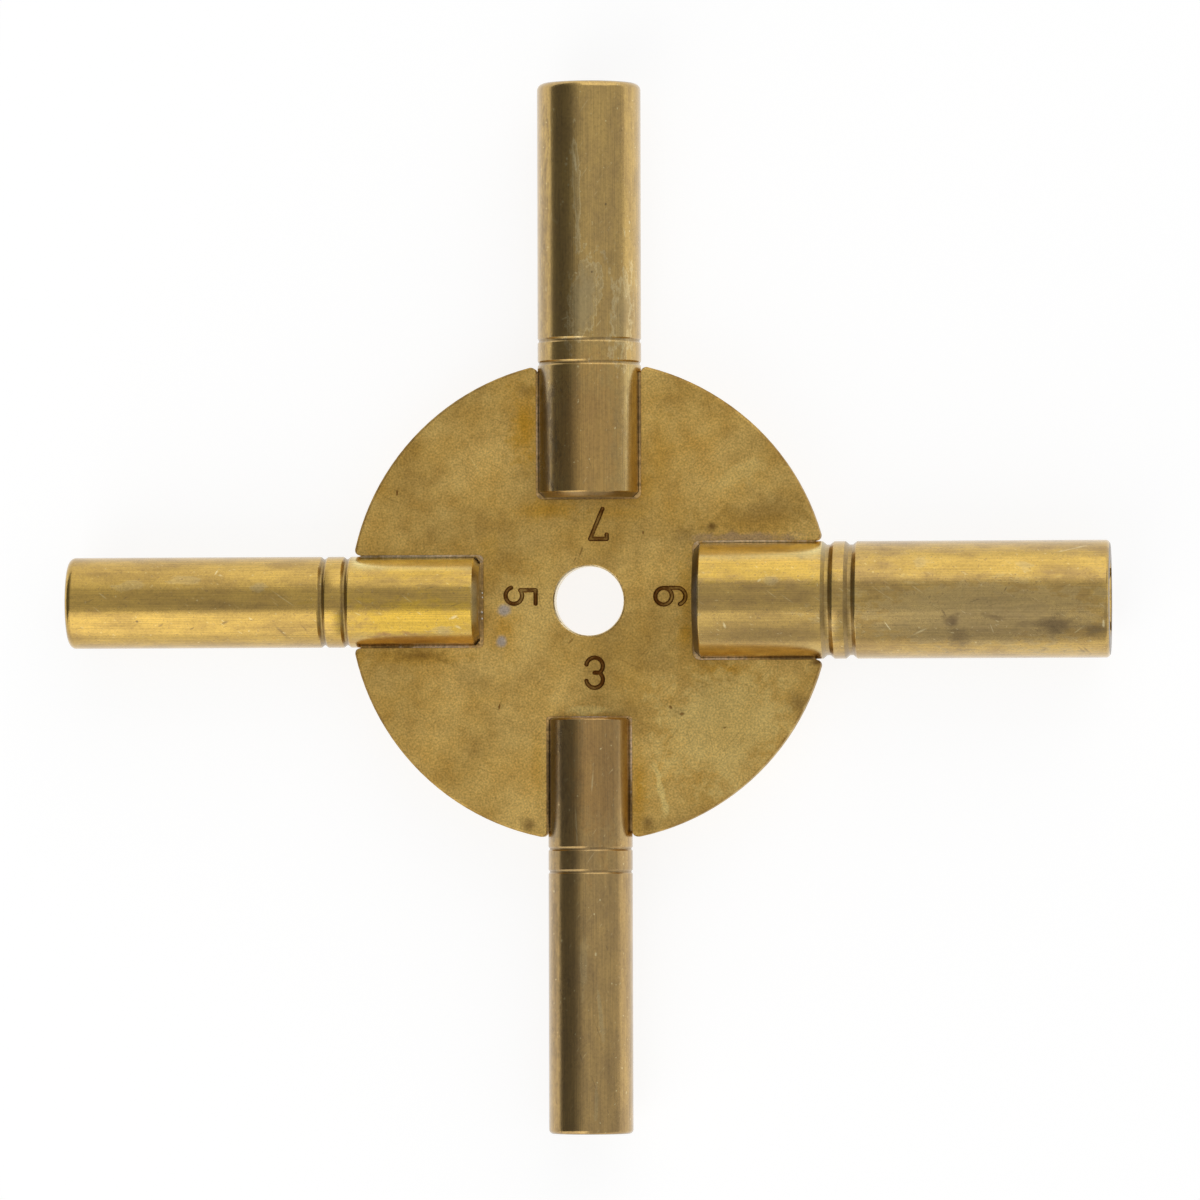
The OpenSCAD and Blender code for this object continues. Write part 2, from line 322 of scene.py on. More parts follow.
# Pale hazes and thin pale lines, and one broad patch of painted light that brightens the lower right of the
# face.
PALE_HAZES_AND_LIGHT = [
    (0.0, -7.9, 2.2, 0.45, 0, 0.8), (5.15, -13.5, 0.3, 2.3, 13, 0.8), (10.8, 9.2, 2.4, 0.9, 25, 0.3),
    (9.5, -9.0, 6.5, 5.0, 30, 0.5), (-4.2, 0.3, 3.0, 4.2, 0, 0.22),
    (-8.2, 9.8, 1.0, 0.07, -58, 0.6), (5.6, -10.9, 0.9, 0.07, 70, 0.5)]
SOLDER_SMEARS = [(11.4, 4.5, 4.6, 0.5, 0, 0.7), (8.2, 4.5, 1.2, 0.4, 0, 0.5)]
SOLDER_SPECKS = [(-6.15, -0.65, 0.65, 0.6, 20, 0.85), (-6.34, -2.9, 0.5, 0.6, 0, 0.85)]
DIRT_TICKS = [
    (-13.9, 7.9, 0.1, 0.35, 0, 0.8), (-6.5, -7.6, 0.09, 0.3, -10, 0.8), (5.9, -7.7, 0.12, 0.2, 30, 0.7),
    (6.7, -8.2, 0.2, 0.12, 15, 0.7), (9.8, -9.2, 0.2, 0.1, 20, 0.6), (3.95, 4.9, 0.09, 0.2, 0, 0.7),
    (-0.6, 3.45, 0.5, 0.07, 70, 0.5), (-1.0, 3.0, 0.3, 0.08, 60, 0.5), (-1.3, -2.9, 0.35, 0.1, 50, 0.5)]
sheet_brass, tree = new_material("rolled_brass_sheet")
place = add(tree, "ShaderNodeTexCoord", {}).outputs["Object"]
cloud = add(tree, "ShaderNodeTexNoise", {"Vector": place, "Scale": 1 / CLOUD, "Detail": 3.0})
blush = add(tree, "ShaderNodeTexNoise", {
    "Vector": place, "Scale": 1 / BLUSH, "Detail": 3.0, "Roughness": 0.5})
mottle = add(tree, "ShaderNodeTexNoise", {
    "Vector": place, "Scale": 1 / MOTTLE, "Detail": 5.0, "Roughness": 0.6})
fray = add(tree, "ShaderNodeTexNoise", {
    "Vector": place, "Scale": 1 / FRAY, "Detail": 4.0, "Roughness": 0.6})
grain = add(tree, "ShaderNodeTexNoise", {"Vector": place, "Scale": 1 / GRAIN, "Detail": 2.0})
uneven = add(tree, "ShaderNodeMath", {0: mottle.outputs[0], 1: fray.outputs[0]}, operation="ADD")
ragged = add(tree, "ShaderNodeMapRange", {
    "Value": uneven.outputs[0], "From Min": 0.7, "From Max": 1.3,
    "To Min": 0.45, "To Max": 1.55}).outputs[0]
even = add(tree, "ShaderNodeMapRange", {
    "Value": fray.outputs[0], "From Min": 0.2, "From Max": 0.8,
    "To Min": 0.8, "To Max": 1.2}).outputs[0]

dulling = add(tree, "ShaderNodeMath", {0: mottle.outputs[0], 1: 0.4, 2: cloud.outputs[0]},
              operation="MULTIPLY_ADD")
dulling = add(tree, "ShaderNodeMapRange", {"Value": dulling.outputs[0], "From Min": 0.52, "From Max": 0.9})
blushed = add(tree, "ShaderNodeMapRange", {
    "Value": blush.outputs["Color"], "From Min": 0.42, "From Max": 0.78, "To Max": 0.5})
browned = add(tree, "ShaderNodeMapRange", {
    "Value": blush.outputs[0], "From Min": 0.5, "From Max": 0.8, "To Max": 0.16})
stains_and_light = [
    (dulling.outputs[0], SHEET_DULL),
    (blushed.outputs[0], HEAT_GOLD),
    (browned.outputs[0], STAIN_BROWN),
    (marks(tree, place, ragged, HEAT_TINTS, firm=0.0), HEAT_GOLD),
    (marks(tree, place, ragged, BROWN_STAINS, firm=0.0), STAIN_BROWN),
    (marks(tree, place, ragged, PALE_HAZES_AND_LIGHT), PALE_HAZE_AND_LIGHT),
    (marks(tree, place, ragged, SOLDER_SMEARS), SMEAR_GREY),
    (marks(tree, place, even, SOLDER_SPECKS), SPECK_GREY),
]
level = add(tree, "ShaderNodeSeparateXYZ", {0: place})
depth = add(tree, "ShaderNodeMath", {0: level.outputs["Z"]}, operation="ABSOLUTE")
sunk = add(tree, "ShaderNodeMapRange", {
    "Value": depth.outputs[0], "From Min": DIRT_TOP, "From Max": DIRT_FULL, "To Max": 0.95},
    interpolation_type="SMOOTHSTEP")
floor_dirt = add(tree, "ShaderNodeMapRange", {
    "Value": mottle.outputs[0], "From Min": 0.4, "From Max": 0.6, "To Min": 0.55, "To Max": 1.0})
worn = add(tree, "ShaderNodeMapRange", {
    "Value": depth.outputs[0], "From Min": DIRT_FULL, "From Max": DIRT_FLOOR, "To Min": 1.0,
    "To Max": floor_dirt.outputs[0]})
from_hole = add(tree, "ShaderNodeVectorMath", {0: place, 1: (1, 1, 0)}, operation="MULTIPLY")
from_hole = add(tree, "ShaderNodeVectorMath", {0: from_hole.outputs[0]}, operation="LENGTH")
from_hole = from_hole.outputs["Value"]
inside = add(tree, "ShaderNodeMath", {0: from_hole, 1: PUNCH_ZONE[0]}, operation="GREATER_THAN")
outside = add(tree, "ShaderNodeMath", {0: from_hole, 1: PUNCH_ZONE[1]}, operation="LESS_THAN")
for share in (worn, inside, outside):
    sunk = add(tree, "ShaderNodeMath", {0: sunk.outputs[0], 1: share.outputs[0]}, operation="MULTIPLY")
stains_and_light.append((sunk.outputs[0], DIRT))
stains_and_light.append((marks(tree, place, ragged, DIRT_TICKS), DIRT))
scratched = None
for turn, offset in HAIR_SETS:
    swung = add(tree, "ShaderNodeMapping", {
        "Vector": place, "Rotation": (0, 0, math.radians(turn)), "Location": (offset, offset, 0)})
    drawn_out = add(tree, "ShaderNodeMapping", {"Vector": swung.outputs[0], "Scale": HAIR_STRETCH})
    hair = add(tree, "ShaderNodeTexNoise", {
        "Vector": drawn_out.outputs[0], "Scale": 1 / HAIR, "Detail": 0.0})
    hair = add(tree, "ShaderNodeMapRange", {
        "Value": hair.outputs[0], "From Min": 0.77, "From Max": 0.83, "To Max": 0.25})
    if scratched:
        hair = add(tree, "ShaderNodeMath", {0: scratched, 1: hair.outputs[0]}, operation="MAXIMUM")
    scratched = hair.outputs[0]
stains_and_light.append((scratched, SCRATCH_DARK))
rim = add(tree, "ShaderNodeMapRange", {
    "Value": from_hole, "From Min": SAWN_RIM[0], "From Max": SAWN_RIM[1]})
rim_dirt = add(tree, "ShaderNodeMapRange", {
    "Value": uneven.outputs[0], "From Min": 0.8, "From Max": 1.2, "To Min": 0.2, "To Max": 0.75})
rim = add(tree, "ShaderNodeMath", {0: rim.outputs[0], 1: rim_dirt.outputs[0]}, operation="MULTIPLY")
stains_and_light.append((rim.outputs[0], SCRATCH_DARK))
# Painted highlight: the wall of the hole is painted pale for the white table reflected in it.
bored = add(tree, "ShaderNodeMath", {0: from_hole, 1: HOLE_WALL}, operation="LESS_THAN")
stains_and_light.append((bored.outputs[0], HOLE_PAINTED_LIGHT))
colour = layered(tree, SHEET_CLEAN, stains_and_light)

speckle = add(tree, "ShaderNodeMapRange", {
    "Value": grain.outputs[0], "From Min": 0.25, "From Max": 0.75, "To Min": 0.68, "To Max": 1.2})
clotted = add(tree, "ShaderNodeMapRange", {
    "Value": fray.outputs[0], "From Min": 0.3, "From Max": 0.7, "To Min": 0.95, "To Max": 1.04})
speckle = add(tree, "ShaderNodeMath", {0: speckle.outputs[0], 1: clotted.outputs[0]}, operation="MULTIPLY")
colour = add(tree, "ShaderNodeVectorMath", {0: colour, "Scale": speckle.outputs[0]}, operation="SCALE")
dullness = add(tree, "ShaderNodeMapRange", {
    "Value": mottle.outputs[0], "From Min": 0.3, "From Max": 0.7, "To Min": 0.52, "To Max": 0.66})
dullness = add(tree, "ShaderNodeMapRange", {
    "Value": bored.outputs[0], "To Min": dullness.outputs[0], "To Max": HOLE_ROUGH})
relief = add(tree, "ShaderNodeMath", {0: grain.outputs[0], 1: mottle.outputs[0]}, operation="ADD")
bump = add(tree, "ShaderNodeBump", {"Height": relief.outputs[0], "Strength": 0.25, "Distance": GRAIN_DEPTH})
brass = add(tree, "ShaderNodeBsdfPrincipled", {
    "Base Color": colour.outputs[0], "Metallic": 1.0, "Roughness": dullness.outputs[0],
    "Normal": bump.outputs[0]})
add(tree, "ShaderNodeOutputMaterial", {"Surface": brass.outputs[0]})
disc.data.materials.clear()
disc.data.materials.append(sheet_brass)

# Each barrel is drawn brass rod, turned with a chamfered foot, two rings and a rounded mouth, then
# drilled, countersunk and broached square. It lies in its slot on the disc's middle plane and is
# soldered there. The table gives its bearing in degrees and its sizes in millimetres.
BARRELS = {
    "3": {"bearing": 270, "flats": 3.0, "foot": 0.15, "mouth": 0.3,
          "ring_start": 9.45, "ring": 0.3, "ring_floor": 0.08},
    "5": {"bearing": 180, "flats": 3.5, "foot": 0.45, "mouth": 0.5,
          "ring_start": 9.7, "ring": 0.55, "ring_floor": 0.12},
    "7": {"bearing": 90, "flats": 4.0, "foot": 0.4, "mouth": 0.5,
          "ring_start": 9.7, "ring": 0.35, "ring_floor": 0.1},
    "9": {"bearing": 0, "flats": 4.5, "foot": 0.5, "mouth": 0.35,
          "ring_start": 9.7, "ring": 0.85, "ring_floor": 0.25},
}
RIM_STEPS = 192
RING_PITCH = 1.65 * MM
RING_FLARE = math.radians(50)
SOCKET_DEPTH = 12 * MM
CHIP_ROOM = 3 * MM
LEAD = 0.6 * MM
PILOT_OVER = 0.1 * MM
DRILL_FLARE = math.radians(59)
DRILL_TIP = 0.02
BROACH_OVER = 1 * MM
TURNED_EDGE = 0.03 * MM
TURNED_ANGLE = math.radians(20)
MOUTH_STEPS = 8

# Drawn brass rod, worn bright under a thin clear film of old polish: fine lines along it, drawn coarser
# than real ones so that they show, tarnish, dried polish, smudges, pits, dust and nicks. Heat marks the
# soldered end and dirt the recesses. Painted light lies on the flanks in the slot: an orange painted
# reflection in the heat marks, a pale painted highlight and a grey painted shade, the last two more on
# the side that their sign gives. Some dark marks are painted shade, one wall of each ring has painted
# shade, and the end face is darkened.
ROD_FILM = "#BEAA7A"
ROD_DARK = "#6E583A"
ROD_PALE = "#F0DCA6"
ROD_GRIME_AND_SHADE = "#5A4A34"
ROD_GOLD = "#DDB438"
ROD_HEAT_AND_REFLECTION = "#BE8A42"
ROD_FLANK_LIGHT = "#FFEFA6"
ROD_FLANK_SHADE = "#746C60"
DRAW_LINE = 0.08 * MM
DRAW_STRETCH = (0.015, 1, 1)
DRAW_DEPTH = 0.006 * MM
PATCH = 1.6 * MM
PATCH_FRAY = 0.45 * MM
PATCH_STRETCH = (0.5, 1, 1)
WAVE = 3 * MM
WAVE_DEPTH = 0.016 * MM
PIT = 0.22 * MM
DUST = 0.2 * MM
NICK = 0.12 * MM
NICK_STRETCH = (0.06, 1, 1)
NICK_SETS = ((35, ROD_PALE), (-20, ROD_DARK))
GRIME_DEPTH = (0.02 * MM, 0.1 * MM)
SEAM_LEVEL = (0.8, 0.5)
SEAM_SPREAD = 1 * MM
FAR_SIDE = 0.2
SLOT_END = (17.4 * MM, 16.4 * MM)
FOOT_DIRT = (2 * MM, 3 * MM)
MOUTH_CLEAN = (1.2 * MM, 0.8 * MM)
END_FACE = (0.06 * MM, 0.02 * MM)
END_DARKENING = 0.8
FILM_ROUGH = 0.12
GRIME_ROUGH = 0.3
CLEAR_FILM = 0.6
CLEAR_ROUGH = 0.25
# Per barrel: the flank strips in the heat marks are painted reflection, the pale and grey flank stains are
# painted highlight and painted shade, the ring wall stain and long dark strips are painted shade.
ROD_WEAR_AND_LIGHT = {
    "3": {
        "clean": "#C8A565", "dull": "#AE8F5B", "pits": 0.4, "dust": 0.8, "tide": 0.1, "flank_light": 0.1,
        "flank_shade": -0.75, "foot_dirt": 0.1, "ring_dirt": 0.38, "ring_shade": 0.1,
        "gold": [],
        "heat_and_reflection": [(12.0, 0.8, 7.5, 2.8, 0, 0.4)],
        "film": [(13.0, -2.75, 6.0, 0.9, 0, 0.6), (13.0, 2.75, 6.0, 0.9, 0, 0.1),
                 (29.6, 0.9, 2.4, 0.16, 6, 0.5), (36.1, 0.6, 1.6, 0.2, 0, 0.4),
                 (26.5, -0.3, 3.0, 0.5, 0, 0.2)],
        "dark": [(24.0, -2.5, 18.0, 0.55, 0, 0.7), (34.0, 1.6, 3.5, 0.5, 0, 0.25),
                 (12.5, -2.6, 7.0, 1.4, 0, 0.9), (12.0, 1.6, 6.5, 1.6, 0, 0.3)],
        "pale": [(22.6, 0.5, 0.1, 0.07, 0, 0.9), (24.5, -1.9, 0.12, 0.08, 0, 0.9),
                 (25.5, 0.6, 0.16, 0.08, 0, 0.8), (16.0, -0.8, 1.6, 0.07, 3, 0.4),
                 (13.0, 0.4, 1.2, 0.07, -4, 0.4)]},
    "5": {
        "clean": "#D3AD53", "dull": "#B7944B", "pits": 0.5, "dust": 0.4, "tide": 0.1, "flank_light": -1.0,
        "flank_shade": 0.0, "foot_dirt": 0.3, "ring_dirt": 0.45, "ring_shade": 0.0,
        "gold": [(12.5, 1.6, 6.5, 2.4, 0, 0.8), (12.0, -2.4, 5.5, 1.2, 0, 0.45)],
        "heat_and_reflection": [(12.5, 3.1, 6.5, 0.9, 0, 0.9)],
        "film": [(23.8, -1.0, 0.7, 0.4, 0, 0.5), (33.0, -1.2, 1.2, 0.5, 10, 0.3),
                 (29.0, -1.6, 1.6, 0.4, 0, 0.3), (10.5, 2.2, 0.9, 0.4, 0, 0.5),
                 (8.05, 0.0, 0.3, 3.6, 0, 0.5)],
        "dark": [(22.1, 2.24, 1.2, 0.2, -45, 0.6), (32.6, 1.4, 0.16, 0.12, 0, 0.9),
                 (24.5, 3.2, 0.14, 0.1, 0, 0.9), (20.5, 1.9, 0.5, 0.12, -45, 0.5),
                 (28.6, 1.9, 0.3, 0.08, 30, 0.6), (30.9, 1.7, 0.22, 0.08, 25, 0.6),
                 (26.2, 1.5, 0.3, 0.09, 20, 0.6), (33.4, -0.3, 0.3, 0.1, 30, 0.4),
                 (16.4, 1.6, 0.3, 0.05, 40, 0.5), (16.0, 1.3, 0.25, 0.05, 40, 0.5),
                 (12.5, 2.6, 5.5, 0.5, 0, 0.45), (27.0, 0.3, 9.0, 0.9, 0, 0.3)],
        "pale": [(26.9, -2.1, 0.3, 0.08, 60, 0.7), (9.6, 1.2, 0.35, 0.12, 30, 0.6),
                 (9.3, 1.9, 0.3, 0.12, -30, 0.5)]},
    "7": {
        "clean": "#D1AE65", "dull": "#B9995D", "pits": 0.2, "dust": 0.8, "tide": 0.5, "flank_light": -0.25,
        "flank_shade": 0.75, "foot_dirt": 0.5, "ring_dirt": 0.38, "ring_shade": 0.1,
        "gold": [],
        "heat_and_reflection": [(11.5, 0.0, 7.5, 3.8, 0, 0.35)],
        "film": [(12.0, -3.4, 6.0, 1.1, 0, 0.15), (12.0, 3.4, 6.0, 1.1, 0, 0.6),
                 (21.6, 0.1, 3.4, 1.25, -10, 0.7), (20.6, -2.7, 3.4, 1.2, 0, 0.4),
                 (30.0, 0.6, 5.0, 0.3, 2, 0.35)],
        "dark": [(28.5, -1.5, 0.14, 0.12, 0, 0.9), (23.6, -0.5, 0.12, 0.1, 0, 0.9),
                 (24.0, 3.15, 18.0, 0.6, 0, 0.7), (24.6, -1.8, 0.9, 0.8, 0, 0.3),
                 (11.5, 3.2, 7.0, 1.5, 0, 0.9)],
        "pale": [(31.8, 1.3, 0.12, 0.08, 0, 0.9), (31.4, 1.35, 0.1, 0.07, 0, 0.8),
                 (29.9, 1.2, 0.1, 0.07, 0, 0.8), (28.7, 1.6, 0.09, 0.07, 0, 0.8),
                 (27.3, 2.2, 0.4, 0.05, 50, 0.6), (20.3, 1.5, 0.4, 0.06, -70, 0.7),
                 (35.4, 2.3, 0.09, 0.07, 0, 0.8), (31.6, 0.7, 0.9, 0.09, 8, 0.6)]},
    "9": {
        "clean": "#D2AE5D", "dull": "#B29152", "pits": 0.55, "dust": 0.4, "tide": 0.1, "flank_light": 0.8,
        "flank_shade": 0.0, "foot_dirt": 0.85, "ring_dirt": 0.3, "ring_shade": 0.4,
        "gold": [(12.5, 2.4, 7.0, 1.8, 0, 0.5), (29.0, 2.6, 12.0, 1.4, 0, 0.3)],
        "heat_and_reflection": [(12.5, 3.4, 6.5, 0.9, 0, 0.2), (12.5, -3.4, 6.5, 0.9, 0, 0.2)],
        "film": [(13.4, 1.3, 0.8, 0.5, 0, 0.5), (28.5, -1.2, 11.0, 2.8, 0, 0.42),
                 (31.6, 2.4, 0.7, 0.3, -10, 0.4), (24.0, 2.6, 0.6, 0.5, 0, 0.3),
                 (7.9, 0.4, 0.35, 1.6, 0, 0.6)],
        "dark": [(26.8, -2.9, 1.6, 1.6, 0, 0.75), (26.4, -1.7, 0.9, 0.9, 0, 0.8),
                 (25.8, -1.1, 0.5, 0.1, -60, 0.7), (33.8, -2.0, 2.4, 1.1, 0, 0.8),
                 (36.6, -2.3, 1.6, 0.8, 0, 0.7), (29.4, -1.4, 1.6, 0.4, -12, 0.6),
                 (31.4, -1.9, 1.2, 0.5, 8, 0.45), (35.9, -3.7, 0.55, 0.1, -40, 0.7),
                 (35.5, -3.65, 0.4, 0.09, -40, 0.6), (30.2, 0.6, 0.25, 0.07, 60, 0.7),
                 (15.5, 3.0, 0.5, 0.2, -20, 0.5), (30.0, 4.0, 1.0, 0.2, 0, 0.5),
                 (31.0, -2.4, 2.0, 0.8, 0, 0.3), (24.0, -2.5, 2.0, 0.6, 0, 0.25),
                 (28.0, -2.6, 11.0, 1.4, 0, 0.4), (30.0, -1.6, 11.0, 1.6, 0, 0.25),
                 (13.0, -2.7, 6.0, 1.2, 0, 0.35)],
        "pale": [(21.7, -1.95, 0.6, 0.05, -55, 0.9), (35.2, 3.6, 1.6, 0.06, 13, 0.7),
                 (37.2, -1.85, 0.12, 0.35, 0, 0.8), (24.0, -2.4, 0.8, 0.06, 25, 0.5),
                 (29.2, -2.2, 0.5, 0.06, -70, 0.5), (35.3, -2.4, 0.5, 0.06, 35, 0.5),
                 (10.0, -1.9, 0.12, 0.35, 20, 0.7), (12.5, 1.3, 0.25, 0.1, 30, 0.6)]},
}
for size, build in BARRELS.items():
    bearing = math.radians(build["bearing"])
    low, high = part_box("barrel_" + size)
    ends = (low.x, high.x) if build["bearing"] % 180 == 0 else (low.y, high.y)
    foot, mouth = sorted(abs(end) for end in ends)
    radius = min(high.z, -low.z)
    flats = build["flats"] * MM
    foot_chamfer = build["foot"] * MM
    mouth_round = build["mouth"] * MM
    half_ring = build["ring"] * MM / 2
    half_floor = build["ring_floor"] * MM / 2
    ring_depth = (half_ring - half_floor) / math.tan(RING_FLARE)
    rings = [foot + build["ring_start"] * MM + ring * RING_PITCH for ring in (0, 1)]
    pilot = (flats + PILOT_OVER) / 2
    stations = [(foot, radius - foot_chamfer), (foot + foot_chamfer, radius)]
    for middle in rings:
        stations.append((middle - half_ring, radius))
        stations.append((middle - half_floor, radius - ring_depth))
        stations.append((middle + half_floor, radius - ring_depth))
        stations.append((middle + half_ring, radius))
    for step in range(MOUTH_STEPS + 1):
        turn = math.pi / 2 * step / MOUTH_STEPS
        stations.append((mouth - mouth_round * (1 - math.sin(turn)),
                         radius - mouth_round * (1 - math.cos(turn))))
    stations.append((mouth, flats / 2 + LEAD))
    stations.append((mouth - (flats / 2 + LEAD - pilot), pilot))
    drilled = mouth - SOCKET_DEPTH - CHIP_ROOM
    stations.append((drilled, pilot))
    stations.append((drilled - (1 - DRILL_TIP) * pilot / math.tan(DRILL_FLARE), DRILL_TIP * pilot))

    bpy.ops.object.select_all(action="DESELECT")
    bpy.ops.mesh.primitive_circle_add(
        vertices=RIM_STEPS, radius=stations[0][1], fill_type="NGON", location=(foot, 0, 0),
        rotation=(0, math.pi / 2, 0))
    barrel = bpy.context.object
    barrel.name = "rod_" + size
    bpy.ops.object.transform_apply(location=True, rotation=True, scale=True)
    bpy.ops.object.mode_set(mode="EDIT")
    bpy.ops.mesh.select_all(action="SELECT")
    for (x, r), (next_x, next_r) in zip(stations, stations[1:]):
        bpy.ops.mesh.extrude_region_move(TRANSFORM_OT_translate={"value": (next_x - x, 0, 0)})
        bpy.ops.transform.resize(value=(1, next_r / r, next_r / r), center_override=(next_x, 0, 0))
    bpy.ops.mesh.select_all(action="SELECT")
    bpy.ops.mesh.normals_make_consistent(inside=False)
    bpy.ops.object.mode_set(mode="OBJECT")
    bevel = barrel.modifiers.new("turned_edges", "BEVEL")
    bevel.width = TURNED_EDGE
    bevel.segments = EDGE_STEPS
    bevel.limit_method = "ANGLE"
    bevel.angle_limit = TURNED_ANGLE
    bpy.ops.object.modifier_apply(modifier=bevel.name)

    bpy.ops.object.select_all(action="DESELECT")
    broach_length = SOCKET_DEPTH + BROACH_OVER
    bpy.ops.mesh.primitive_cube_add(
        size=1, location=(mouth - SOCKET_DEPTH + broach_length / 2, 0, 0),
        scale=(broach_length, flats, flats))
    broach = bpy.context.object
    bpy.ops.object.select_all(action="DESELECT")
    barrel.select_set(True)
    bpy.context.view_layer.objects.active = barrel
    square = barrel.modifiers.new("square", "BOOLEAN")
    square.operation = "DIFFERENCE"
    square.solver = "EXACT"
    square.object = broach
    bpy.ops.object.modifier_apply(modifier=square.name)
    bpy.data.objects.remove(broach)
    barrel.rotation_euler.z = bearing
    bpy.ops.object.transform_apply(location=True, rotation=True, scale=True)
    smooth_edges(barrel)
    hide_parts("barrel_" + size)
    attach(barrel, "root")

    wear_and_light = ROD_WEAR_AND_LIGHT[size]
    rod_brass, tree = new_material("drawn_brass_rod_" + size)
    place = add(tree, "ShaderNodeTexCoord", {}).outputs["Object"]
    along = add(tree, "ShaderNodeMapping", {"Vector": place, "Rotation": (0, 0, -bearing)}).outputs[0]
    upper = add(tree, "ShaderNodeMapping", {"Vector": along, "Location": (0, 0, -radius)}).outputs[0]
    drawn = add(tree, "ShaderNodeMapping", {"Vector": along, "Scale": DRAW_STRETCH})
    lines = add(tree, "ShaderNodeTexNoise", {
        "Vector": drawn.outputs[0], "Scale": 1 / DRAW_LINE, "Detail": 2.0})
    stretched = add(tree, "ShaderNodeMapping", {"Vector": along, "Scale": PATCH_STRETCH})
    patch = add(tree, "ShaderNodeTexNoise", {
        "Vector": stretched.outputs[0], "Scale": 1 / PATCH, "Detail": 6.0, "Roughness": 0.65})
    fray = add(tree, "ShaderNodeTexNoise", {
        "Vector": stretched.outputs[0], "Scale": 1 / PATCH_FRAY, "Detail": 4.0, "Roughness": 0.6})
    wave = add(tree, "ShaderNodeTexNoise", {
        "Vector": stretched.outputs[0], "Scale": 1 / WAVE, "Detail": 2.0})
    speckle = add(tree, "ShaderNodeTexNoise", {"Vector": along, "Scale": 1 / PIT, "Detail": 2.0})
    dust = add(tree, "ShaderNodeTexNoise", {"Vector": along, "Scale": 1 / DUST, "Detail": 0.0})
    uneven = add(tree, "ShaderNodeMath", {0: patch.outputs[0], 1: fray.outputs[0]}, operation="ADD")
    ragged = add(tree, "ShaderNodeMapRange", {
        "Value": uneven.outputs[0], "From Min": 0.7, "From Max": 1.3,
        "To Min": 0.4, "To Max": 1.6}).outputs[0]

    tarnish = add(tree, "ShaderNodeMapRange", {
        "Value": patch.outputs[0], "From Min": 0.38, "From Max": 0.64})
    stains_and_light = [(tarnish.outputs[0], wear_and_light["dull"])]
    if wear_and_light["gold"]:
        stains_and_light.append((marks(tree, upper, ragged, wear_and_light["gold"], radius), ROD_GOLD))
    # Heat tint, and in strips along the flanks in the slot an orange painted reflection of the disc.
    stains_and_light.append((marks(tree, upper, ragged, wear_and_light["heat_and_reflection"], radius), ROD_HEAT_AND_REFLECTION))
    film = marks(tree, upper, ragged, wear_and_light["film"], radius)
    stains_and_light.append((film, ROD_FILM))
    tide = add(tree, "ShaderNodeMapRange", {
        "Value": film, "From Min": 0.06, "From Max": 0.18, "To Max": wear_and_light["tide"]})
    dried = add(tree, "ShaderNodeMapRange", {"Value": film, "From Min": 0.32, "From Max": 0.18})
    tide = add(tree, "ShaderNodeMath", {0: tide.outputs[0], 1: dried.outputs[0]}, operation="MULTIPLY")
    stains_and_light.append((tide.outputs[0], ROD_PALE))
    # Dark marks: smudges, and painted shade in long strips along the flanks and over the darker parts of
    # the barrel.
    stains_and_light.append((marks(tree, upper, ragged, wear_and_light["dark"], radius, firm=0.1), ROD_DARK))
    stains_and_light.append((marks(tree, upper, ragged, wear_and_light["pale"], radius), ROD_PALE))
    pitted = add(tree, "ShaderNodeMapRange", {
        "Value": speckle.outputs[0], "From Min": 0.58, "From Max": 0.75, "To Max": wear_and_light["pits"]})
    stains_and_light.append((pitted.outputs[0], ROD_DARK))
    dusty = add(tree, "ShaderNodeMapRange", {
        "Value": dust.outputs[0], "From Min": 0.8, "From Max": 0.87, "To Max": wear_and_light["dust"]})
    stains_and_light.append((dusty.outputs[0], ROD_PALE))
    for turn, shade in NICK_SETS:
        swung = add(tree, "ShaderNodeMapping", {"Vector": along, "Rotation": (0, 0, math.radians(turn))})
        drawn_out = add(tree, "ShaderNodeMapping", {"Vector": swung.outputs[0], "Scale": NICK_STRETCH})
        hair = add(tree, "ShaderNodeTexNoise", {
            "Vector": drawn_out.outputs[0], "Scale": 1 / NICK, "Detail": 0.0})
        hair = add(tree, "ShaderNodeMapRange", {
            "Value": hair.outputs[0], "From Min": 0.78, "From Max": 0.85, "To Max": 0.4})
        stains_and_light.append((hair.outputs[0], shade))
    point = add(tree, "ShaderNodeSeparateXYZ", {0: along})
    level = add(tree, "ShaderNodeMath", {0: point.outputs["Z"]}, operation="ABSOLUTE")
    beside = add(tree, "ShaderNodeMapRange", {
        "Value": level.outputs[0], "From Min": SEAM_LEVEL[0] * radius, "From Max": SEAM_LEVEL[1] * radius},
        interpolation_type="SMOOTHSTEP")
    in_slot = add(tree, "ShaderNodeMapRange", {
        "Value": point.outputs["X"], "From Min": SLOT_END[0], "From Max": SLOT_END[1]})
    beside = add(tree, "ShaderNodeMath", {0: beside.outputs[0], 1: in_slot.outputs[0]},
                 operation="MULTIPLY")
